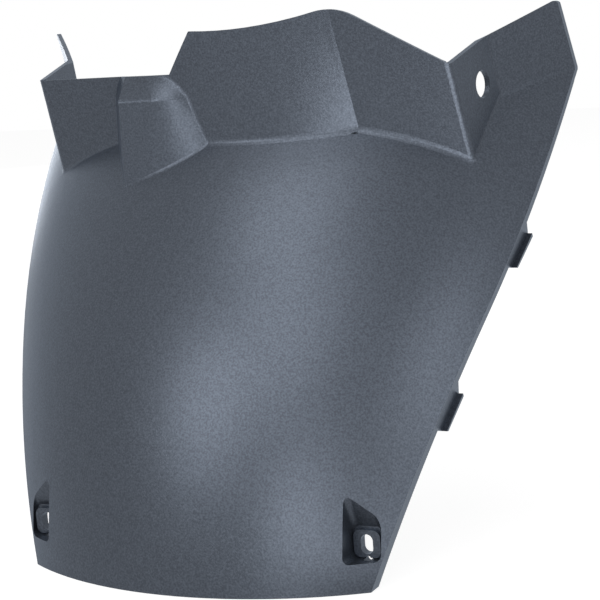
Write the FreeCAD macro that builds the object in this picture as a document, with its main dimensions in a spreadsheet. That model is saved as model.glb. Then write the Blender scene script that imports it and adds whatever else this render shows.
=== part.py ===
import FreeCAD, Part
import math
import os
import Sketcher

# Scooter front fender, moulded in one piece.
# Frame: X runs across the fender, Y runs from its front to its back, Z is up.
# It is drawn from the plane of symmetry, level with the bottom edge and with its two corners.
# The last step puts the origin in the middle of the base, under the whole part.

doc = FreeCAD.newDocument("fender")
sheet = doc.addObject("Spreadsheet::Sheet", "Sizes")

# Driving dimensions: millimetres and degrees
SIZES = {
    "Wall": 2.5,
    "CornerHalf": 91.3,
    "BottomRadius": 169.0,
    "TopRadius": 191.5,
    "TopRadiusLevel": 225.0,
    "FrontSetback": -27.8,
    "ProfileRadius": 356.0,
    "ProfileLean": 6.5,
    "SideSlope": 17.93,
    "SideBend": 115.8,
    "SideRadius": 438.6,
    "ElbowLevel": 225.5,
    "TipHalf": 146.6,
    "TipLevel": 261.5,
    "TipRound": 1.5,
    "WallLow": 170.0,
    "WallHigh": 275.0,
    "CentreLow": 69.5,
    "CentreHigh": 57.0,
    "InnerFoldLowX": 67.6,
    "InnerFoldLowY": 90.0,
    "InnerFoldHighX": 58.5,
    "InnerFoldHighY": 60.4,
    "OuterFoldLowX": 118.6,
    "OuterFoldLowY": 100.5,
    "OuterFoldHighX": 112.1,
    "OuterFoldHighY": 60.4,
    "EarFoldLowX": 125.7,
    "EarFoldLowY": 138.9,
    "EarFoldHighX": 118.2,
    "EarFoldHighY": 103.9,
    "EarEndLowX": 160.0,
    "EarEndLowY": 202.6,
    "EarEndHighX": 160.0,
    "EarEndHighY": 156.1,
    "CentreTop": 257.9,
    "InnerFoldTop": 266.3,
    "InnerFoldTopX": 62.0,
    "CrestRound": 26.0,
    "OuterFoldTop": 234.9,
    "OuterFoldTopX": 114.6,
    "EarFoldTop": 246.4,
    "EarFoldTopX": 120.2,
    "OuterFoldTopLeft": 237.65,
    "OuterFoldTopY": 75.7,
    "EarFoldTopY": 113.4,
    "FoldRound": 3.0,
    "FootRound": 4.0,
    "InnerFootRound": 3.0,
    "BackPlane": 260.0,
    "NotchLevel": 237.65,
    "NotchCorner": 29.6,
    "NotchTop": 15.0,
    "NotchTopLevel": 257.8,
    "BumpLowLevel": 178.0,
    "BumpFoldLevel": 226.0,
    "BumpHighLevel": 240.0,
    "BumpRootLowX": 78.0,
    "BumpRootLowY": 88.0,
    "BumpRootFoldX": 70.0,
    "BumpRootFoldY": 77.0,
    "BumpRootHighX": 66.0,
    "BumpRootHighY": 73.5,
    "BumpFrontLowX": 57.0,
    "BumpFrontLowY": 57.3,
    "BumpFrontFoldX": 56.3,
    "BumpFrontFoldY": 57.0,
    "BumpFrontHighX": 58.0,
    "BumpFrontHighY": 70.3,
    "BumpTurnLowX": 53.5,
    "BumpTurnLowY": 57.3,
    "BumpTurnFoldX": 37.0,
    "BumpTurnFoldY": 57.0,
    "BumpTurnHighX": 46.0,
    "BumpTurnHighY": 66.6,
    "BumpEndLowX": 4.0,
    "BumpEndLowY": 67.5,
    "BumpEndFoldX": 19.0,
    "BumpEndFoldY": 65.0,
    "BumpEndHighX": 29.0,
    "BumpEndHighY": 64.0,
    "BumpCurveLow": 110.0,
    "BumpCurveFold": 30.0,
    "BumpCurveHigh": 200.0,
    "BumpBack": 95.0,
    "BumpFoldRound": 3.0,
    "BumpFootRound": 2.5,
    "EdgeBand": 2.2,
    "RimBack": 9.4,
    "RimLift": 4.6,
    "RimTop": 220.0,
    "LowTabTopY": 50.5,
    "LowTabTopZ": 88.4,
    "LowTabEndTopY": 54.6,
    "LowTabEndTopZ": 83.2,
    "LowTabFootY": 36.0,
    "LowTabFootZ": 68.1,
    "LowTabEndFootY": 44.3,
    "LowTabEndFootZ": 65.8,
    "HighTabTopY": 102.5,
    "HighTabTopZ": 156.2,
    "HighTabEndTopY": 106.0,
    "HighTabEndTopZ": 151.8,
    "HighTabFootY": 85.7,
    "HighTabFootZ": 137.2,
    "HighTabEndFootY": 91.2,
    "HighTabEndFootZ": 135.9,
    "TabRoot": 4.5,
    "LipThick": 2.0,
    "LipOut": 2.5,
    "LipDrop": 1.4,
    "SideHoleRadius": 6.8,
    "SideHoleY": 106.7,
    "SideHoleZ": 223.4,
    "WellCentreX": 87.6,
    "WellWidth": 15.4,
    "WellFloor": 8.5,
    "WellFoot": 13.5,
    "WellTop": 28.6,
    "WellMouth": -14.0,
    "WellRampRise": 2.1,
    "WellRound": 3.0,
    "WellWall": 2.2,
    "CollarWidth": 13.4,
    "CollarFoot": 14.2,
    "CollarTop": 27.4,
    "CollarFace": 6.0,
    "CollarRound": 3.5,
    "SlotWidth": 6.0,
    "SlotHeight": 9.5,
    "SlotLevel": 20.6,
    "DrainRadius": 1.7,
}


def column_name(row):
    return "B%d" % row


def fill_sheet():
    """Write every driving dimension into the sheet and give its cell an alias."""
    for row, (name, value) in enumerate(SIZES.items(), start=1):
        sheet.set("A%d" % row, name)
        sheet.set(column_name(row), str(value))
        sheet.setAlias(column_name(row), name)
    doc.recompute()


def size(name):
    """A driving dimension, read back from the sheet."""
    return float(sheet.get(name))


fill_sheet()


def cell(name):
    return "Sizes." + name


# The shell: horizontal arcs that follow a leaning arc in the plane of symmetry

SHELL_LEVELS = (-12.0, 30.0, 75.0, 120.0, 165.0, 205.0, 240.0)
SHELL_MARGIN = 8.0
INNER_MARGIN = 1.0
ROUGH_RADIUS = 180.0
ROUGH_LEAN = 0.4
ROUGH_FRONT = -27.0


def lean_sine(level):
    return "(sin(%s * 1 deg) + (%s) / %s)" % (cell("ProfileLean"), level, cell("ProfileRadius"))


def front_line(level):
    """Y of the shell in the plane of symmetry, at a level."""
    rise = "cos(%s * 1 deg) - sqrt(1 - %s ^ 2)" % (cell("ProfileLean"), lean_sine(level))
    return "%s + %s * (%s)" % (cell("FrontSetback"), cell("ProfileRadius"), rise)


def arc_radius(level):
    """Radius of the horizontal arc at a level."""
    share = "((%s) / %s) ^ 2" % (level, cell("TopRadiusLevel"))
    return "%s + (%s - %s) * %s" % (cell("BottomRadius"), cell("TopRadius"), cell("BottomRadius"), share)


def wall_at_centre(level):
    """Wall measured level along Y in the plane of symmetry, where the shell leans."""
    return "%s / sqrt(1 - %s ^ 2)" % (cell("Wall"), lean_sine(level))


def wall_at_flank(level):
    """Wall measured level at the point where the arc has turned by 45 degrees."""
    lean = "%s ^ 2 / (1 - %s ^ 2)" % (lean_sine(level), lean_sine(level))
    return "%s * sqrt(1 + 0.5 * %s)" % (cell("Wall"), lean)


def inner_radius_drop(level):
    """How much smaller the inner arc is, so that the wall is right at centre and flank."""
    half = math.sqrt(0.5)
    return "((%s) - %.6f * (%s)) / %.6f" % (wall_at_flank(level), half, wall_at_centre(level), 1 - half)


def side_half(level):
    """Half width of the fender at a level, from its two side outlines."""
    bend = size("SideBend")
    slope = math.radians(size("SideSlope"))
    if level < bend:
        return size("CornerHalf") + level * math.tan(slope)
    centre_x = size("CornerHalf") + bend * math.tan(slope) - size("SideRadius") * math.cos(slope)
    centre_z = bend + size("SideRadius") * math.sin(slope)
    return centre_x + math.sqrt(size("SideRadius") ** 2 - (level - centre_z) ** 2)


def arc_section(name, level, radius, front, half, back):
    """Closed level section: an arc at the front, two sides and a straight back."""
    sketch = doc.addObject("Sketcher::SketchObject", name)
    sketch.Placement = FreeCAD.Placement(FreeCAD.Vector(0, 0, level), FreeCAD.Rotation())
    rough_front = level * ROUGH_LEAN + ROUGH_FRONT
    centre = FreeCAD.Vector(0, rough_front + ROUGH_RADIUS, 0)
    angle = math.asin(half / ROUGH_RADIUS)
    circle = Part.Circle(centre, FreeCAD.Vector(0, 0, 1), ROUGH_RADIUS)
    arc = Part.ArcOfCircle(circle, 1.5 * math.pi - angle, 1.5 * math.pi + angle)
    left = arc.StartPoint
    right = arc.EndPoint
    far_right = FreeCAD.Vector(half, back, 0)
    far_left = FreeCAD.Vector(-half, back, 0)
    sketch.addGeometry(arc)
    sketch.addGeometry(Part.LineSegment(right, far_right))
    sketch.addGeometry(Part.LineSegment(far_right, far_left))
    sketch.addGeometry(Part.LineSegment(far_left, left))
    con = Sketcher.Constraint
    sketch.addConstraint(con("Coincident", 0, 2, 1, 1))
    sketch.addConstraint(con("Coincident", 1, 2, 2, 1))
    sketch.addConstraint(con("Coincident", 2, 2, 3, 1))
    sketch.addConstraint(con("Coincident", 3, 2, 0, 1))
    sketch.addConstraint(con("Vertical", 1))
    sketch.addConstraint(con("Vertical", 3))
    sketch.addConstraint(con("Symmetric", 2, 1, 2, 2, -2))
    sketch.addConstraint(con("PointOnObject", 0, 3, -2))
    sketch.addConstraint(con("Radius", 0, ROUGH_RADIUS))
    sketch.renameConstraint(8, "radius")
    sketch.addConstraint(con("DistanceY", -1, 1, 0, 3, centre.y))
    sketch.renameConstraint(9, "centre")
    sketch.addConstraint(con("DistanceX", -1, 1, 1, 2, half))
    sketch.renameConstraint(10, "half")
    sketch.addConstraint(con("DistanceY", -1, 1, 1, 2, back))
    sketch.renameConstraint(11, "back")
    sketch.setExpression("Constraints.radius", radius)
    sketch.setExpression("Constraints.centre", "%s + %s" % (front, radius))
    sketch.setExpression("Constraints.back", cell("BackPlane"))
    return sketch


def shell_solid(name, inner):
    """Solid behind the shell's outer face, or behind its inner face."""
    sections = []
    for number, level in enumerate(SHELL_LEVELS):
        radius = arc_radius(level)
        front = front_line(level)
        half = side_half(level) + SHELL_MARGIN
        back = size("BackPlane")
        if inner:
            front = "%s + %s" % (front, wall_at_centre(level))
            radius = "%s - %s" % (radius, inner_radius_drop(level))
            half = half + INNER_MARGIN
        label = "%s_section_%d" % (name, number)
        sections.append(arc_section(label, level, radius, front, half, back))
    return loft(name, sections, ruled=False)


# The folded wall that stands out of the shell's top: two level outlines joined by flat faces

WALL_FOLDS = ("EarEnd", "EarFold", "OuterFold", "InnerFold")


def wall_outline(name, level_name, height):
    """Level outline of the folded wall, drawn on one side and mirrored to the other."""
    sketch = doc.addObject("Sketcher::SketchObject", name)
    sketch.setExpression("Placement.Base.z", cell(level_name))
    right = []
    for fold in WALL_FOLDS:
        right.append(FreeCAD.Vector(size(fold + height + "X"), size(fold + height + "Y"), 0))
    left = [FreeCAD.Vector(-p.x, p.y, 0) for p in right]
    middle = FreeCAD.Vector(0, size("Centre" + height), 0)
    back_right = FreeCAD.Vector(right[0].x, size("BackPlane"), 0)
    back_left = FreeCAD.Vector(-right[0].x, size("BackPlane"), 0)
    points = [back_right] + right + left[::-1] + [back_left]
    centre_start = len(right)
    for number in range(len(points)):
        start = points[number]
        end = points[(number + 1) % len(points)]
        if number == centre_start:
            sketch.addGeometry(Part.Arc(start, middle, end))
        else:
            sketch.addGeometry(Part.LineSegment(start, end))
    con = Sketcher.Constraint
    count = len(points)
    arc_start, arc_end = 1, 2
    if sketch.getPoint(centre_start, 1).x < 0:
        arc_start, arc_end = 2, 1
    for number in range(count):
        following = (number + 1) % count
        end_side = arc_end if number == centre_start else 2
        start_side = arc_start if following == centre_start else 1
        sketch.addConstraint(con("Coincident", number, end_side, following, start_side))
    bindings = []

    def bind(kind, geometry, side, value, expression):
        if value < 0:
            index = sketch.addConstraint(con(kind, geometry, side, -1, 1, -value))
        else:
            index = sketch.addConstraint(con(kind, -1, 1, geometry, side, value))
        label = "size%d" % index
        sketch.renameConstraint(index, label)
        bindings.append((label, expression))

    for number, fold in enumerate(WALL_FOLDS):
        place = number + 1
        for axis, kind in (("X", "DistanceX"), ("Y", "DistanceY")):
            name_of_size = fold + height + axis
            side = arc_start if place == centre_start else 1
            bind(kind, place, side, size(name_of_size), cell(name_of_size))
    for number, fold in enumerate(reversed(WALL_FOLDS)):
        place = centre_start + 1 + number
        sketch.addConstraint(con("Symmetric", place, 1, centre_start - number,
                                 arc_start if number == 0 else 1, -2))
    bind("DistanceY", 0, 1, size("BackPlane"), cell("BackPlane"))
    sketch.addConstraint(con("Vertical", 0))
    sketch.addConstraint(con("Horizontal", count - 1))
    sketch.addConstraint(con("Vertical", count - 2))
    chord = size("InnerFold" + height + "X")
    sag = size("InnerFold" + height + "Y") - size("Centre" + height)
    radius = (chord ** 2 + sag ** 2) / (2 * sag)
    centre_y = size("Centre" + height) + radius
    index = sketch.addConstraint(con("DistanceY", -1, 1, centre_start, 3, centre_y))
    sketch.renameConstraint(index, "centre")
    half = cell("InnerFold" + height + "X")
    rise = "(%s - %s)" % (cell("InnerFold" + height + "Y"), cell("Centre" + height))
    arc_rise = "(%s ^ 2 + %s ^ 2) / (2 * %s)" % (half, rise, rise)
    sketch.setExpression("Constraints.centre", "%s + %s" % (cell("Centre" + height), arc_rise))
    for label, expression in bindings:
        sketch.setExpression("Constraints." + label, expression)
    return sketch


def inset_corner(before, corner, after, depth):
    """Corner of two walls, moved in by the same depth square to both of them."""
    first = (corner - before).normalize()
    second = (after - corner).normalize()
    first_in = FreeCAD.Vector(first.y, -first.x, 0)
    second_in = FreeCAD.Vector(second.y, -second.x, 0)
    bisector = (first_in + second_in).normalize()
    return corner + bisector * (depth / bisector.dot(first_in))


def inner_wall_wire(height, level, depth):
    """Level outline of the folded wall's inner faces."""
    outline = [FreeCAD.Vector(size("EarEnd" + height + "X"), size("BackPlane"), 0)]
    for fold in WALL_FOLDS:
        outline.append(FreeCAD.Vector(size(fold + height + "X"), size(fold + height + "Y"), 0))
    half = outline[-1].x
    rise = outline[-1].y - size("Centre" + height)
    radius = (half ** 2 + rise ** 2) / (2 * rise)
    centre = FreeCAD.Vector(0, size("Centre" + height) + radius, 0)
    tangent = FreeCAD.Vector(-(centre.y - outline[-1].y), -half, 0)
    beyond = outline[-1] + tangent
    corners = []
    chain = outline + [beyond]
    for number in range(1, len(outline)):
        corners.append(inset_corner(chain[number - 1], chain[number], chain[number + 1], depth))
    corners.insert(0, FreeCAD.Vector(corners[0].x, size("BackPlane"), 0))
    lift = FreeCAD.Vector(0, 0, level)
    right = [corner + lift for corner in corners]
    left = [FreeCAD.Vector(-corner.x, corner.y, corner.z) for corner in right]
    middle = FreeCAD.Vector(0, size("Centre" + height) + depth, level)
    edges = [Part.makeLine(right[n], right[n + 1]) for n in range(len(right) - 1)]
    edges.append(Part.Arc(right[-1], middle, left[-1]).toShape())
    edges += [Part.makeLine(left[n + 1], left[n]) for n in range(len(left) - 2, -1, -1)]
    edges.append(Part.makeLine(left[0], right[0]))
    return Part.Wire(edges)


# Parts that are drawn as plain outlines: a number and its expression travel together


class Dim:
    """A number with the expression that gives it from the sheet."""

    def __init__(self, value, text):
        self.value = float(value)
        self.text = text

    def __add__(self, other):
        other = as_dim(other)
        return Dim(self.value + other.value, "(%s + %s)" % (self.text, other.text))

    def __sub__(self, other):
        other = as_dim(other)
        return Dim(self.value - other.value, "(%s - %s)" % (self.text, other.text))

    def __mul__(self, other):
        other = as_dim(other)
        return Dim(self.value * other.value, "(%s * %s)" % (self.text, other.text))

    def __truediv__(self, other):
        other = as_dim(other)
        return Dim(self.value / other.value, "(%s / %s)" % (self.text, other.text))

    def __neg__(self):
        return Dim(-self.value, "(0 - %s)" % self.text)


def as_dim(value):
    if isinstance(value, Dim):
        return value
    return Dim(value, "(%.6f)" % value)


def dim(name):
    return Dim(size(name), cell(name))


def tangent(angle):
    return Dim(math.tan(math.radians(angle.value)), "tan(%s * 1 deg)" % angle.text)


def sine(angle):
    return Dim(math.sin(math.radians(angle.value)), "sin(%s * 1 deg)" % angle.text)


def cosine(angle):
    return Dim(math.cos(math.radians(angle.value)), "cos(%s * 1 deg)" % angle.text)


def root(value):
    return Dim(math.sqrt(value.value), "sqrt(%s)" % value.text)


PLANES = {
    "level": (FreeCAD.Rotation(), "z"),
    "front": (FreeCAD.Rotation(FreeCAD.Vector(1, 0, 0), 90), "y"),
    "side": (FreeCAD.Rotation(FreeCAD.Vector(1, 1, 1), 120), "x"),
}


def polygon(name, plane, offset, corners, arcs=None):
    """Closed outline on a level, front or side plane, with every corner bound to the sheet."""
    arcs = arcs or {}
    offset = as_dim(offset)
    rotation, axis = PLANES[plane]
    sketch = doc.addObject("Sketcher::SketchObject", name)
    sketch.Placement = FreeCAD.Placement(FreeCAD.Vector(0, 0, 0), rotation)
    sketch.setExpression("Placement.Base." + axis, offset.text)
    points = [FreeCAD.Vector(as_dim(u).value, as_dim(v).value, 0) for u, v in corners]
    count = len(points)
    con = Sketcher.Constraint
    for number in range(count):
        start = points[number]
        end = points[(number + 1) % count]
        if number in arcs:
            chord = end - start
            half = chord.Length / 2
            radius = arcs[number].value
            inward = FreeCAD.Vector(-chord.y, chord.x, 0).normalize()
            middle = start + chord * 0.5 - inward * (radius - math.sqrt(radius ** 2 - half ** 2))
            sketch.addGeometry(Part.Arc(start, middle, end))
        else:
            sketch.addGeometry(Part.LineSegment(start, end))
    for number in range(count):
        sketch.addConstraint(con("Coincident", number, 2, (number + 1) % count, 1))
    bindings = []
    for number, corner in enumerate(corners):
        for kind, value in zip(("DistanceX", "DistanceY"), corner):
            value = as_dim(value)
            if value.value < 0:
                index = sketch.addConstraint(con(kind, number, 1, -1, 1, -value.value))
                value = -value
            else:
                index = sketch.addConstraint(con(kind, -1, 1, number, 1, value.value))
            bindings.append((index, value.text))
    for number, radius in arcs.items():
        index = sketch.addConstraint(con("Radius", number, radius.value))
        bindings.append((index, radius.text))
    for index, text in bindings:
        label = "size%d" % index
        sketch.renameConstraint(index, label)
        sketch.setExpression("Constraints." + label, text)
    return sketch


def prism(name, sketch, direction, length):
    """Outline drawn out along a direction."""
    solid = doc.addObject("Part::Extrusion", name)
    solid.Base = sketch
    solid.DirMode = "Custom"
    solid.Dir = direction
    solid.setExpression("LengthFwd", as_dim(length).text)
    solid.Solid = True
    return solid


def loft(name, sections, ruled=True):
    solid = doc.addObject("Part::Loft", name)
    solid.Sections = sections
    solid.Solid = True
    solid.Ruled = ruled
    return solid


def fuse(name, pieces):
    solid = doc.addObject("Part::MultiFuse", name)
    solid.Shapes = pieces
    return solid


def common(name, pieces):
    solid = doc.addObject("Part::MultiCommon", name)
    solid.Shapes = pieces
    return solid


def cut(name, base, tool):
    solid = doc.addObject("Part::Cut", name)
    solid.Base = base
    solid.Tool = tool
    return solid


def mirrored(name, source):
    solid = doc.addObject("Part::Mirroring", name)
    solid.Source = source
    solid.Normal = FreeCAD.Vector(1, 0, 0)
    return solid


def rounded(name, base, radius, wanted):
    """Round the edges whose start, middle and end points are wanted."""
    doc.recompute()
    chosen = []
    for number, edge in enumerate(base.Shape.Edges, start=1):
        first, last = edge.FirstParameter, edge.LastParameter
        points = [edge.valueAt(t) for t in (first, (first + last) / 2, last)]
        if wanted(*points):
            chosen.append((number, radius, radius))
    solid = doc.addObject("Part::Fillet", name)
    solid.Base = base
    solid.Edges = chosen
    return solid


ALONG_X = FreeCAD.Vector(1, 0, 0)
ALONG_Y = FreeCAD.Vector(0, 1, 0)
ALONG_Z = FreeCAD.Vector(0, 0, 1)


# Bounds within which the edges to be rounded are looked for

FOLD_EDGES = {"rise": 90.0, "side": 80.0, "back": 140.0}
FOOT_EDGES = {"bottom": 181.0, "top": 227.5, "back": 149.9}
BUMP_FOLD = {"rise": 3.0, "off": 4.0, "back": 64.0}
BUMP_FOOT = {"bottom": 183.0, "top": 201.7, "front": 58.5, "left": -54.5, "right": -10.0, "back": 66.0}
CORNER_REACH = 1.0
WELL_REACH = 15.0
TUBE_REACH = 1.5


# Outer and inner skins: shell, folded wall and bump, joined and then rounded where they meet

LEVEL_SHARE = 1.035
outer_low = wall_outline("wall_outline_low", "WallLow", "Low")
outer_high = wall_outline("wall_outline_high", "WallHigh", "High")
outer_wall = loft("outer_wall", [outer_low, outer_high])
inset = LEVEL_SHARE * size("Wall")
inner_wall = doc.addObject("Part::Feature", "inner_wall")
inner_wall.Shape = Part.makeLoft([inner_wall_wire("Low", size("WallLow"), inset),
                                  inner_wall_wire("High", size("WallHigh"), inset)], True, True)
outer_shell = shell_solid("outer_shell", inner=False)
inner_shell = shell_solid("inner_shell", inner=True)


def side_fold(start, middle, end):
    """The folds on both sides of the ear's face, which run up through the whole wall."""
    tall = abs(start.z - end.z) > FOLD_EDGES["rise"]
    return tall and abs(middle.x) > FOLD_EDGES["side"] and middle.y < FOLD_EDGES["back"]


def foot_edge(start, middle, end):
    """The lines where the wall or the bump rises from the shell."""
    below = max(start.z, middle.z, end.z) < FOOT_EDGES["top"]
    above = min(start.z, middle.z, end.z) > FOOT_EDGES["bottom"]
    return below and above and middle.y < FOOT_EDGES["back"]


# The bump on one side: three level outlines; each corner names how far the hollow moves in

BUMP_CORNERS = (("Root", 0.81, 0.6), ("Front", 0.51, 1.0), ("Turn", -0.05, 1.0), ("End", -0.2, 1.0))
BUMP_LEVELS = (("Low", 0.0), ("Fold", 0.6), ("High", 0.0))


def bump_section(name, height, drop, share):
    """Level outline of the bump; a share of the wall moves it in and down for the hollow."""
    wall = dim("Wall") * share
    corners = []
    for corner, move_x, move_y in BUMP_CORNERS:
        label = "Bump" + corner + height
        corners.append((wall * move_x - dim(label + "X"), dim(label + "Y") + wall * move_y))
    corners.append((corners[-1][0], dim("BumpBack")))
    corners.append((corners[0][0], dim("BumpBack")))
    level = dim("Bump" + height + "Level") - wall * drop
    return polygon(name, "level", level, corners, {2: dim("BumpCurve" + height)})


def bump_solid(name, share):
    """The bump, or with a share of 1 the hollow behind it."""
    sections = []
    for height, drop in BUMP_LEVELS:
        sections.append(bump_section(name + "_" + height.lower(), height, drop, share))
    return loft(name, sections)


def bump_fold_edge(start, middle, end):
    """The edges where the bump's front and rounded side bend back to the cap."""
    flat = abs(start.z - end.z) < BUMP_FOLD["rise"]
    near = abs(middle.z - size("BumpFoldLevel")) < BUMP_FOLD["off"]
    return flat and near and middle.y < BUMP_FOLD["back"]


outer_wall_folded = rounded("outer_wall_folded", outer_wall, size("FoldRound"), side_fold)
inner_wall_folded = rounded("inner_wall_folded", inner_wall, size("FoldRound"), side_fold)
outer_bump = bump_solid("outer_bump", 0.0)
inner_bump = bump_solid("inner_bump", 1.0)


def bump_foot_edge(start, middle, end):
    """The lines where the bump's front and rounded side rise from the shell."""
    low = max(start.z, end.z) < BUMP_FOOT["top"] and min(start.y, end.y) < BUMP_FOOT["front"]
    inside = BUMP_FOOT["left"] < middle.x < BUMP_FOOT["right"]
    return low and inside and middle.z > BUMP_FOOT["bottom"] and middle.y < BUMP_FOOT["back"]


def joined_skin(name, shell, wall, foot_radius, bump):
    """Shell and folded wall joined with a rounded foot line, then the bump added."""
    plain = fuse(name + "_plain", [shell, wall])
    footed = rounded(name + "_footed", plain, foot_radius, foot_edge)
    return fuse(name + "_with_bump", [footed, bump])


outer_bump_folded = rounded("outer_bump_folded", outer_bump, size("BumpFoldRound"), bump_fold_edge)
outer_joined = joined_skin("outer", outer_shell, outer_wall_folded, size("FootRound"), outer_bump_folded)
outer_skin = rounded("outer_skin", outer_joined, size("BumpFootRound"), bump_foot_edge)
inner_skin = joined_skin("inner", inner_shell, inner_wall_folded, size("InnerFootRound"), inner_bump)
sheet_body = cut("sheet_body", outer_skin, inner_skin)


# Outline seen from the front, and the same outline moved in or out for the edge bands

DEEP = 260.0
START = -45.0
ABOVE = 285.0


def side_corners(shift, foot):
    """Corners of the right side from the foot to the elbow, moved out by a shift."""
    slope = dim("SideSlope")
    bend_x = dim("CornerHalf") + dim("SideBend") * tangent(slope)
    centre_x = bend_x - dim("SideRadius") * cosine(slope)
    centre_z = dim("SideBend") + dim("SideRadius") * sine(slope)
    radius = dim("SideRadius") + shift
    rise = centre_z - dim("ElbowLevel")
    elbow_x = centre_x + root(radius * radius - rise * rise)
    foot_x = dim("CornerHalf") + as_dim(shift) / cosine(slope) + as_dim(foot) * tangent(slope)
    out = [(foot_x, as_dim(foot))]
    out.append((bend_x + cosine(slope) * shift, dim("SideBend") - sine(slope) * shift))
    out.append((elbow_x, dim("ElbowLevel")))
    return out, radius


def both_sides(right):
    """Right corners from the bottom up, followed by the same corners on the left, going down."""
    return right + [(-x, z) for x, z in reversed(right)]


def outline_prism(name, shift, foot, top):
    """Everything inside the outline seen from the front."""
    right, radius = side_corners(shift, foot)
    right = right + top
    corners = both_sides(right)
    last = len(corners) - 3
    sketch = polygon(name + "_outline", "front", START, corners, {1: radius, last: radius})
    return prism(name, sketch, ALONG_Y, DEEP)


ear_slope = (dim("TipLevel") - dim("EarFoldTop")) / (dim("TipHalf") - dim("EarFoldTopX"))
ear_reach = 5.0
ear_top = [(dim("TipHalf"), dim("TipLevel")),
           (dim("EarFoldTopX") - ear_reach, dim("EarFoldTop") - ear_slope * ear_reach),
           (dim("EarFoldTopX") - ear_reach - 1.0, as_dim(ABOVE))]
full_outline = outline_prism("full_outline_sharp", as_dim(0.0), 0.0, ear_top)


def tip_edge(start, middle, end):
    level = abs(middle.z - size("TipLevel")) < CORNER_REACH
    return level and abs(abs(middle.x) - size("TipHalf")) < CORNER_REACH


full_outline = rounded("full_outline", full_outline, size("TipRound"), tip_edge)
side_top = [(dim("TipHalf") + 4.0, as_dim(ABOVE))]
inset_outline = outline_prism("inset_outline", -dim("EdgeBand"), -20.0, side_top)
nominal_outline = outline_prism("nominal_outline", as_dim(0.0), 0.0, side_top)
lip_outline = outline_prism("lip_outline", dim("LipOut"), 0.0, side_top)
edge_band = cut("edge_band", nominal_outline, inset_outline)
lip_band = cut("lip_band", lip_outline, inset_outline)


# Roof lines: panels between the outer folds, ear faces and their steps are cut at their own slopes

MITRE_TURNS = {"OuterFold": (-0.713, 0.701), "EarFold": (-0.94, 0.34)}
MITRE_FAR = 14.0
OUTER_NEAR = 4.0
EAR_NEAR = 6.0


def mitre(fold, level, reach):
    """Two plan points on the line through a fold's outer and inner corner at a level."""
    share = (dim(level) - dim("WallLow")) / (dim("WallHigh") - dim("WallLow"))
    x = dim(fold + "LowX") + (dim(fold + "HighX") - dim(fold + "LowX")) * share
    y = dim(fold + "LowY") + (dim(fold + "HighY") - dim(fold + "LowY")) * share
    turn = MITRE_TURNS[fold]
    near = (x - turn[0] * reach, y - turn[1] * reach)
    far = (x + turn[0] * MITRE_FAR, y + turn[1] * MITRE_FAR)
    return near, far


def mirror_plan(corners):
    return [(-as_dim(x), as_dim(y)) for x, y in corners][::-1]


outer_near, outer_far = mitre("OuterFold", "OuterFoldTop", OUTER_NEAR)
ear_near, ear_far = mitre("EarFold", "EarFoldTop", EAR_NEAR)
slope_top = (dim("InnerFoldTop") - dim("OuterFoldTop")) / (dim("OuterFoldTopX") - dim("InnerFoldTopX"))
beyond = 14.0
side_fall = slope_top * beyond
crest = [(-dim("InnerFoldTopX") - beyond, as_dim(ABOVE)),
         (-dim("InnerFoldTopX") - beyond, dim("InnerFoldTop") - side_fall),
         (-dim("InnerFoldTopX"), dim("InnerFoldTop")),
         (dim("InnerFoldTopX"), dim("InnerFoldTop")),
         (dim("OuterFoldTopX") + beyond, dim("OuterFoldTop") - side_fall),
         (dim("OuterFoldTopX") + beyond, as_dim(ABOVE))]
dip = dim("InnerFoldTop") - dim("CentreTop")
dip_radius = (dim("InnerFoldTopX") * dim("InnerFoldTopX") + dip * dip) / (dip * 2.0)
crest_sketch = polygon("crest_outline", "front", START, crest, {2: dip_radius})
crest_sharp = prism("crest_sharp", crest_sketch, ALONG_Y, DEEP)


def crest_edge(start, middle, end):
    level = abs(middle.z - size("InnerFoldTop")) < CORNER_REACH
    return level and abs(abs(middle.x) - size("InnerFoldTopX")) < CORNER_REACH


crest_round = rounded("crest_round", crest_sharp, size("CrestRound"), crest_edge)
ZONE_FRONT = 30.0
ZONE_BACK = 110.0
ZONE_LEVEL = 225.0
ZONE_HEIGHT = 70.0
PANEL_END = -80.0
NOTCH_END = -30.0
NOTCH_SIDE = -130.0
ROOF_OVERRUN = 15.0
ROOF_WIDTH = 50.0
RIGHT_ROOF_START = 90.0
LEFT_ROOF_START = -140.0
panel_zone = [(outer_near[0], as_dim(ZONE_FRONT)), outer_near, outer_far,
              (outer_far[0], as_dim(ZONE_BACK)), (as_dim(PANEL_END), as_dim(ZONE_BACK)),
              (as_dim(PANEL_END), as_dim(ZONE_FRONT))]
face_zone = [outer_near, ear_near, ear_far, outer_far]


def zone_prism(name, corners):
    return prism(name, polygon(name + "_plan", "level", ZONE_LEVEL, corners), ALONG_Z, ZONE_HEIGHT)


def face_roof(name, zone, top_at_outer_fold, start_x):
    """Cuts the ear's face along a line seen from the side, inside its own zone."""
    run = dim("EarFoldTopY") - dim("OuterFoldTopY")
    slope = (dim("EarFoldTop") - dim(top_at_outer_fold)) / run
    more = ROOF_OVERRUN
    line = [(dim("OuterFoldTopY") - more, dim(top_at_outer_fold) - slope * more),
            (dim("EarFoldTopY") + more, dim("EarFoldTop") + slope * more),
            (dim("EarFoldTopY") + more, as_dim(ABOVE)),
            (dim("OuterFoldTopY") - more, as_dim(ABOVE))]
    above = prism(name + "_above", polygon(name + "_line", "side", start_x, line), ALONG_X, ROOF_WIDTH)
    return common(name, [above, zone])


crest_cut = common("crest_cut", [crest_round, zone_prism("panel_zone", panel_zone)])
right_zone = zone_prism("right_face_zone", face_zone)
left_zone = zone_prism("left_face_zone", mirror_plan(face_zone))
right_roof = face_roof("right_face_roof", right_zone, "OuterFoldTop", RIGHT_ROOF_START)
left_roof = face_roof("left_face_roof", left_zone, "OuterFoldTopLeft", LEFT_ROOF_START)

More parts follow.
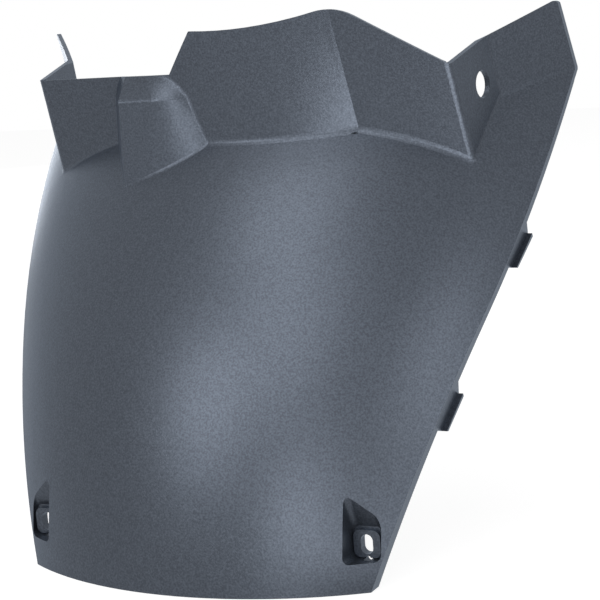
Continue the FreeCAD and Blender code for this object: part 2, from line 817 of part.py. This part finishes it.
notch_lean = (dim("NotchCorner") - dim("NotchTop")) / (dim("NotchTopLevel") - dim("NotchLevel"))
notch_end = -dim("NotchCorner") + notch_lean * (as_dim(ABOVE) - dim("NotchLevel"))
notch_line = [(as_dim(NOTCH_SIDE), dim("NotchLevel")), (-dim("NotchCorner"), dim("NotchLevel")),
              (notch_end, as_dim(ABOVE)), (as_dim(NOTCH_SIDE), as_dim(ABOVE))]
notch_above = prism("notch_above", polygon("notch_line", "front", START, notch_line), ALONG_Y, DEEP)
left_panel_zone = mirror_plan(panel_zone[:4] + [(as_dim(NOTCH_END), as_dim(ZONE_BACK)),
                                                (as_dim(NOTCH_END), as_dim(ZONE_FRONT))])
notch = common("notch", [notch_above, zone_prism("left_panel_zone", left_panel_zone)])
roofs = fuse("roofs", [crest_cut, right_roof, left_roof, notch])
trimmed = common("trimmed", [sheet_body, full_outline])
roofed = cut("roofed", trimmed, roofs)


# Turned-back rim along both side edges

moved_shell = doc.addObject("Part::Compound", "moved_shell")
moved_shell.Links = [outer_shell]
moved_shell.setExpression("Placement.Base.y", cell("RimBack"))
moved_shell.setExpression("Placement.Base.z", cell("RimLift"))
shell_ring = cut("shell_ring", outer_shell, moved_shell)
rim_box = [(as_dim(-START) * -1.0, as_dim(0.0) - 1.0), (as_dim(DEEP), as_dim(-1.0)),
           (as_dim(DEEP), dim("RimTop")), (as_dim(START), dim("RimTop"))]
ACROSS_START = -170.0
ACROSS = 340.0
rim_zone = prism("rim_zone", polygon("rim_zone_outline", "side", ACROSS_START, rim_box), ALONG_X, ACROSS)
rims = common("rims", [shell_ring, edge_band, rim_zone])


# Edge tabs: plates that carry the side faces on to the back, each with a lip that stands out

def tab_piece(name, band, corners):
    sketch = polygon(name + "_outline", "side", ACROSS_START, corners)
    return common(name, [prism(name + "_prism", sketch, ALONG_X, ACROSS), band])


def edge_tab(name):
    """Plate and lip of one tab; the bands place them on both sides at once."""
    top_y, top_z = dim(name + "TopY"), dim(name + "TopZ")
    foot_y, foot_z = dim(name + "FootY"), dim(name + "FootZ")
    end_top_y, end_top_z = dim(name + "EndTopY"), dim(name + "EndTopZ")
    end_foot_y, end_foot_z = dim(name + "EndFootY"), dim(name + "EndFootZ")
    thick = dim("LipThick")
    rooted = dim("TabRoot")
    fall = (foot_z - end_foot_z) / (end_foot_y - foot_y)
    drop = (top_z - end_top_z) / (end_top_y - top_y)
    plate = [(foot_y - rooted, foot_z + fall * rooted),
             (end_foot_y + thick, end_foot_z - fall * thick),
             (end_top_y + thick, end_top_z - drop * thick),
             (end_top_y, end_top_z), (top_y, top_z), (top_y - rooted, top_z)]
    lip = [(end_foot_y, end_foot_z), (end_foot_y + thick, end_foot_z - fall * thick),
           (end_top_y + thick, end_top_z - drop * thick - dim("LipDrop") * 0.5),
           (end_top_y, end_top_z - dim("LipDrop"))]
    plates = tab_piece("plates_" + name, edge_band, plate)
    lips = tab_piece("lips_" + name, lip_band, lip)
    return plates, lips


low_plates, low_lips = edge_tab("LowTab")
high_plates, high_lips = edge_tab("HighTab")


# Screw wells behind the lower corners: a pocket with a ramped roof, a floor collar and a slot

def well_section(name, y, grow):
    """Front outline of the well at a depth; the ramp raises its top towards the front."""
    half = dim("WellWidth") / 2.0 + grow
    foot = dim("WellFoot") - grow
    top = dim("WellTop") + grow + dim("WellRampRise") * (dim("WellFloor") - y)
    centre = dim("WellCentreX")
    corners = [(centre - half, foot), (centre + half, foot), (centre + half, top), (centre - half, top)]
    return polygon(name, "front", y, corners)


def well_solid(name, grow, back):
    solid = loft(name, [well_section(name + "_mouth", dim("WellMouth"), grow),
                        well_section(name + "_floor", back, grow)])
    corner = size("WellRound")
    return rounded(name + "_rounded", solid, corner, well_corner)


def well_corner(start, middle, end):
    return abs(start.y - end.y) > WELL_REACH


well_hollow = well_solid("well_hollow", as_dim(0.0), dim("WellFloor"))
well_case = well_solid("well_case", dim("WellWall"), dim("WellFloor") + dim("WellWall"))


def round_slot(name, half_width, foot, top, corner, y, length):
    """Upright box with rounded upright corners, drawn out to the back."""
    centre = dim("WellCentreX")
    corners = [(centre - half_width, foot), (centre + half_width, foot),
               (centre + half_width, top), (centre - half_width, top)]
    block = prism(name + "_block", polygon(name + "_outline", "front", y, corners), ALONG_Y, length)
    return rounded(name, block, corner, well_tube_edge)


def well_tube_edge(start, middle, end):
    return abs(start.y - end.y) > TUBE_REACH


COLLAR_SINK = 0.5
SLOT_RELIEF = 0.01
SLOT_LEAD = 4.0
SLOT_DEPTH = 16.0
DRAIN_LENGTH = 20.0
collar_depth = dim("WellFloor") - dim("CollarFace") + COLLAR_SINK
collar = round_slot("collar", dim("CollarWidth") / 2.0, dim("CollarFoot"), dim("CollarTop"),
                    size("CollarRound"), dim("CollarFace"), collar_depth)
slot_low = dim("SlotLevel") - dim("SlotHeight") / 2.0
slot_high = dim("SlotLevel") + dim("SlotHeight") / 2.0
slot = round_slot("slot", dim("SlotWidth") / 2.0, slot_low, slot_high,
                  size("SlotWidth") / 2.0 - SLOT_RELIEF, dim("CollarFace") - SLOT_LEAD, as_dim(SLOT_DEPTH))
drain = doc.addObject("Part::Cylinder", "drain")
drain.setExpression("Radius", cell("DrainRadius"))
drain.Height = DRAIN_LENGTH
drain.Placement = FreeCAD.Placement(FreeCAD.Vector(0, 0, 0), FreeCAD.Rotation(ALONG_X, -90))
drain.setExpression("Placement.Base.x", cell("WellCentreX"))
drain.setExpression("Placement.Base.y", cell("WellFloor") + " - 5")
drain.setExpression("Placement.Base.z", cell("WellFoot"))
case_in = common("case_in", [well_case, outer_skin, nominal_outline])
case_left = mirrored("case_left", case_in)
hollow_left = mirrored("hollow_left", well_hollow)
collar_left = mirrored("collar_left", collar)
slot_left = mirrored("slot_left", slot)
drain_left = mirrored("drain_left", drain)


# Round side holes through both ear faces

HOLE_REACH = 140.0
side_hole = doc.addObject("Part::Cylinder", "side_hole")
side_hole.setExpression("Radius", cell("SideHoleRadius"))
side_hole.Height = 2 * HOLE_REACH
side_hole.Placement = FreeCAD.Placement(FreeCAD.Vector(-HOLE_REACH, 0, 0), FreeCAD.Rotation(ALONG_Y, 90))
side_hole.setExpression("Placement.Base.y", cell("SideHoleY"))
side_hole.setExpression("Placement.Base.z", cell("SideHoleZ"))

with_edges = fuse("with_edges", [roofed, rims, low_plates, high_plates, low_lips, high_lips,
                                 case_in, case_left])
hollowed = cut("hollowed", with_edges, fuse("well_hollows", [well_hollow, hollow_left]))
collared = fuse("collared", [hollowed, collar, collar_left])
openings = fuse("openings", [slot, slot_left, drain, drain_left, side_hole])
fender_shell = cut("fender_shell", collared, openings)
doc.recompute()

# The origin goes to the middle of the base, under the whole part

reach = fender_shell.Shape.optimalBoundingBox(False)
fender_shell.Placement.Base = FreeCAD.Vector(0, -(reach.YMin + reach.YMax) / 2, -reach.ZMin)
doc.recompute()


# One solid, checked before it is written

for item in doc.Objects:
    if "Invalid" in item.State or "Error" in item.State:
        raise RuntimeError("not built: " + item.Name)
    if item.isDerivedFrom("Part::Feature") and not item.isDerivedFrom("Sketcher::SketchObject"):
        if item.Shape.isNull() or not item.Shape.isValid():
            raise RuntimeError("no sound shape: " + item.Name)

if len(fender_shell.Shape.Solids) != 1:
    raise RuntimeError("the fender is not one solid")
fender_shell.Label = "fender_shell"
os.makedirs("parts", exist_ok=True)
fender_shell.Shape.exportStep("parts/fender_shell.step")
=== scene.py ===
import math
import bpy
from mathutils import Matrix, Vector

# Scooter front fender in dark satin plastic with fine metallic flakes, seen from its front and right.
# Metres, in the row's own frame: X across the fender, Y to its back, Z up.

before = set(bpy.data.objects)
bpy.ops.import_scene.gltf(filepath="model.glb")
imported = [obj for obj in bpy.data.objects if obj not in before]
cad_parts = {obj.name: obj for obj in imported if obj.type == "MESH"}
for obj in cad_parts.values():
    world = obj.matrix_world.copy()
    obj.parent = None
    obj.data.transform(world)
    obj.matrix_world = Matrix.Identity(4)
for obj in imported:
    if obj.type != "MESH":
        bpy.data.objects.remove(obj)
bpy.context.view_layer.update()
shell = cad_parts["fender_shell"]
scene = bpy.context.scene
scene.view_settings.view_transform = "Standard"


# Camera: lengths of the lens and sensor in millimetres

CAMERA_PLACE = Vector((0.4194, -0.7910, 0.2687))
VIEW_AXIS = Vector((-0.4346, 0.8858, -0.1629))
IMAGE_UP = Vector((-0.0077, 0.1772, 0.9841))
SENSOR_WIDTH = 36.0
FOCAL_LENGTH = 108.0
NEAREST = 0.05
FURTHEST = 50.0


def make_camera():
    """Camera at the photograph's place, with its view axis held exactly and its upright squared to it."""
    back = -VIEW_AXIS.normalized()
    right = IMAGE_UP.cross(back).normalized()
    up = back.cross(right)
    data = bpy.data.cameras.new("camera")
    data.sensor_fit = "HORIZONTAL"
    data.sensor_width = SENSOR_WIDTH
    data.lens = FOCAL_LENGTH
    data.clip_start = NEAREST
    data.clip_end = FURTHEST
    camera = bpy.data.objects.new("camera", data)
    turn = Matrix((right, up, back)).transposed().to_4x4()
    camera.matrix_world = Matrix.Translation(CAMERA_PLACE) @ turn
    scene.collection.objects.link(camera)
    scene.camera = camera


# Materials

WHITE = (1.0, 1.0, 1.0, 1.0)
SHEEN_TINT = (0.76, 0.86, 1.0, 1.0)
GLOSS = 0.5
ROUGHNESS = 0.35
METALLIC_SHARE = 0.6
FLAKE_SCALE = 1100.0
FLAKE_DETAIL = 2.0
FLAKE_STOPS = ((0.35, (0.040, 0.046, 0.058, 1.0)), (0.7, (0.068, 0.079, 0.098, 1.0)))
GRAIN_STRENGTH = 0.12
GRAIN_DEPTH = 0.0004


def new_material(name):
    """A new material with its shader, nodes and links."""
    material = bpy.data.materials.new(name)
    material.use_nodes = True
    nodes = material.node_tree.nodes
    return material, nodes["Principled BSDF"], nodes, material.node_tree.links


def moulded_plastic():
    """Dark blue-grey satin plastic with fine bright flakes and a fine grain."""
    material, shader, nodes, links = new_material("speckled_plastic")
    shader.inputs["Roughness"].default_value = ROUGHNESS
    shader.inputs["Metallic"].default_value = METALLIC_SHARE
    shader.inputs["Specular IOR Level"].default_value = GLOSS
    shader.inputs["Specular Tint"].default_value = SHEEN_TINT
    place = nodes.new("ShaderNodeTexCoord")
    flakes = nodes.new("ShaderNodeTexNoise")
    flakes.inputs["Scale"].default_value = FLAKE_SCALE
    flakes.inputs["Detail"].default_value = FLAKE_DETAIL
    links.new(place.outputs["Object"], flakes.inputs["Vector"])
    ramp = nodes.new("ShaderNodeValToRGB")
    for element, (position, colour) in zip(ramp.color_ramp.elements, FLAKE_STOPS):
        element.position = position
        element.color = colour
    links.new(flakes.outputs["Fac"], ramp.inputs["Fac"])
    links.new(ramp.outputs["Color"], shader.inputs["Base Color"])
    grain = nodes.new("ShaderNodeBump")
    grain.inputs["Strength"].default_value = GRAIN_STRENGTH
    grain.inputs["Distance"].default_value = GRAIN_DEPTH
    links.new(flakes.outputs["Fac"], grain.inputs["Height"])
    links.new(grain.outputs["Normal"], shader.inputs["Normal"])
    return material


# Floor and world: white where the camera or a reflection sees them

FLOOR_SIZE = 6.0
FLOOR_GAP = 0.0005
FLOOR_COLOUR = (0.3, 0.3, 0.3, 1.0)
FLOOR_ROUGHNESS = 0.9
FLOOR_GLOW = 0.9
WORLD_LIGHT = 0.2
WORLD_SEEN = 1.0


def seen_directly(nodes, links):
    """One for rays from the camera, in a reflection or through glass, and otherwise nothing."""
    path = nodes.new("ShaderNodeLightPath")
    total = path.outputs["Is Camera Ray"]
    for kind in ("Is Glossy Ray", "Is Transmission Ray"):
        add = nodes.new("ShaderNodeMath")
        add.operation = "ADD"
        add.use_clamp = True
        links.new(total, add.inputs[0])
        links.new(path.outputs[kind], add.inputs[1])
        total = add.outputs[0]
    return total


def pale_floor():
    """Floor material that looks nearly white and still takes a shadow."""
    material, shader, nodes, links = new_material("pale_floor")
    shader.inputs["Base Color"].default_value = FLOOR_COLOUR
    shader.inputs["Roughness"].default_value = FLOOR_ROUGHNESS
    shader.inputs["Specular IOR Level"].default_value = 0.0
    shader.inputs["Emission Color"].default_value = WHITE
    glow = nodes.new("ShaderNodeMath")
    glow.operation = "MULTIPLY"
    glow.inputs[1].default_value = FLOOR_GLOW
    links.new(seen_directly(nodes, links), glow.inputs[0])
    links.new(glow.outputs[0], shader.inputs["Emission Strength"])
    return material


def make_floor():
    """Square floor just under the fender's bottom edge."""
    half = FLOOR_SIZE / 2
    corners = [(-half, -half), (half, -half), (half, half), (-half, half)]
    mesh = bpy.data.meshes.new("floor")
    mesh.from_pydata([(x, y, -FLOOR_GAP) for x, y in corners], [], [(0, 1, 2, 3)])
    mesh.materials.append(pale_floor())
    floor = bpy.data.objects.new("floor", mesh)
    scene.collection.objects.link(floor)


def make_world():
    """White world that adds only a little light of its own to matt surfaces."""
    world = bpy.data.worlds.new("studio")
    world.use_nodes = True
    nodes = world.node_tree.nodes
    links = world.node_tree.links
    background = nodes["Background"]
    background.inputs["Color"].default_value = WHITE
    strength = nodes.new("ShaderNodeMix")
    strength.data_type = "FLOAT"
    strength.inputs["A"].default_value = WORLD_LIGHT
    strength.inputs["B"].default_value = WORLD_SEEN
    links.new(seen_directly(nodes, links), strength.inputs["Factor"])
    links.new(strength.outputs["Result"], background.inputs["Strength"])
    scene.world = world


# Softboxes: name, degrees from the front towards +X, degrees up, half-angle in degrees,
# and the light each brings to the middle of the fender in watts per square metre

CENTRE = Vector((0.0, -0.02, 0.13))
LAMP_DISTANCE = 2.5
SOFTBOXES = (
    ("low_front", 16.0, 3.0, 10.0, 0.60),
    ("front", -20.0, 24.0, 13.0, 0.82),
    ("left_rim", -134.0, 6.0, 9.0, 0.24),
    ("middle", 8.0, 38.0, 14.0, 0.62),
    ("right", 62.0, 18.0, 12.0, 0.46),
    ("high_front", -14.0, 62.0, 14.0, 0.72),
)
CARD_PLACE = (0.41, -0.46, 0.002)
CARD_WIDTH = 0.56
CARD_DEPTH = 0.62
CARD_POWER = 5.0


def add_lamp(name, shape, width, power):
    """Area lamp of a shape, with its power in watts."""
    data = bpy.data.lights.new(name, "AREA")
    data.shape = shape
    data.size = width
    data.energy = power
    lamp = bpy.data.objects.new(name, data)
    scene.collection.objects.link(lamp)
    return lamp


def make_softbox(name, compass, height, half_angle, light):
    """Round softbox that faces the middle of the fender."""
    turn = math.radians(compass)
    rise = math.radians(height)
    away = Vector((math.sin(turn) * math.cos(rise), -math.cos(turn) * math.cos(rise), math.sin(rise)))
    width = 2.0 * LAMP_DISTANCE * math.tan(math.radians(half_angle))
    lamp = add_lamp(name, "DISK", width, light * math.pi * LAMP_DISTANCE ** 2)
    lamp.location = CENTRE + away * LAMP_DISTANCE
    lamp.rotation_mode = "QUATERNION"
    lamp.rotation_quaternion = (-away).to_track_quat("-Z", "Y")


def make_card():
    """Bright card on the floor at the right front, which lights the wall's overhanging faces."""
    lamp = add_lamp("floor_card", "RECTANGLE", CARD_WIDTH, CARD_POWER)
    lamp.data.size_y = CARD_DEPTH
    lamp.location = CARD_PLACE
    lamp.rotation_euler = (math.pi, 0.0, 0.0)


make_camera()
shell.data.materials.clear()
shell.data.materials.append(moulded_plastic())
make_floor()
make_world()
for softbox in SOFTBOXES:
    make_softbox(*softbox)
make_card()
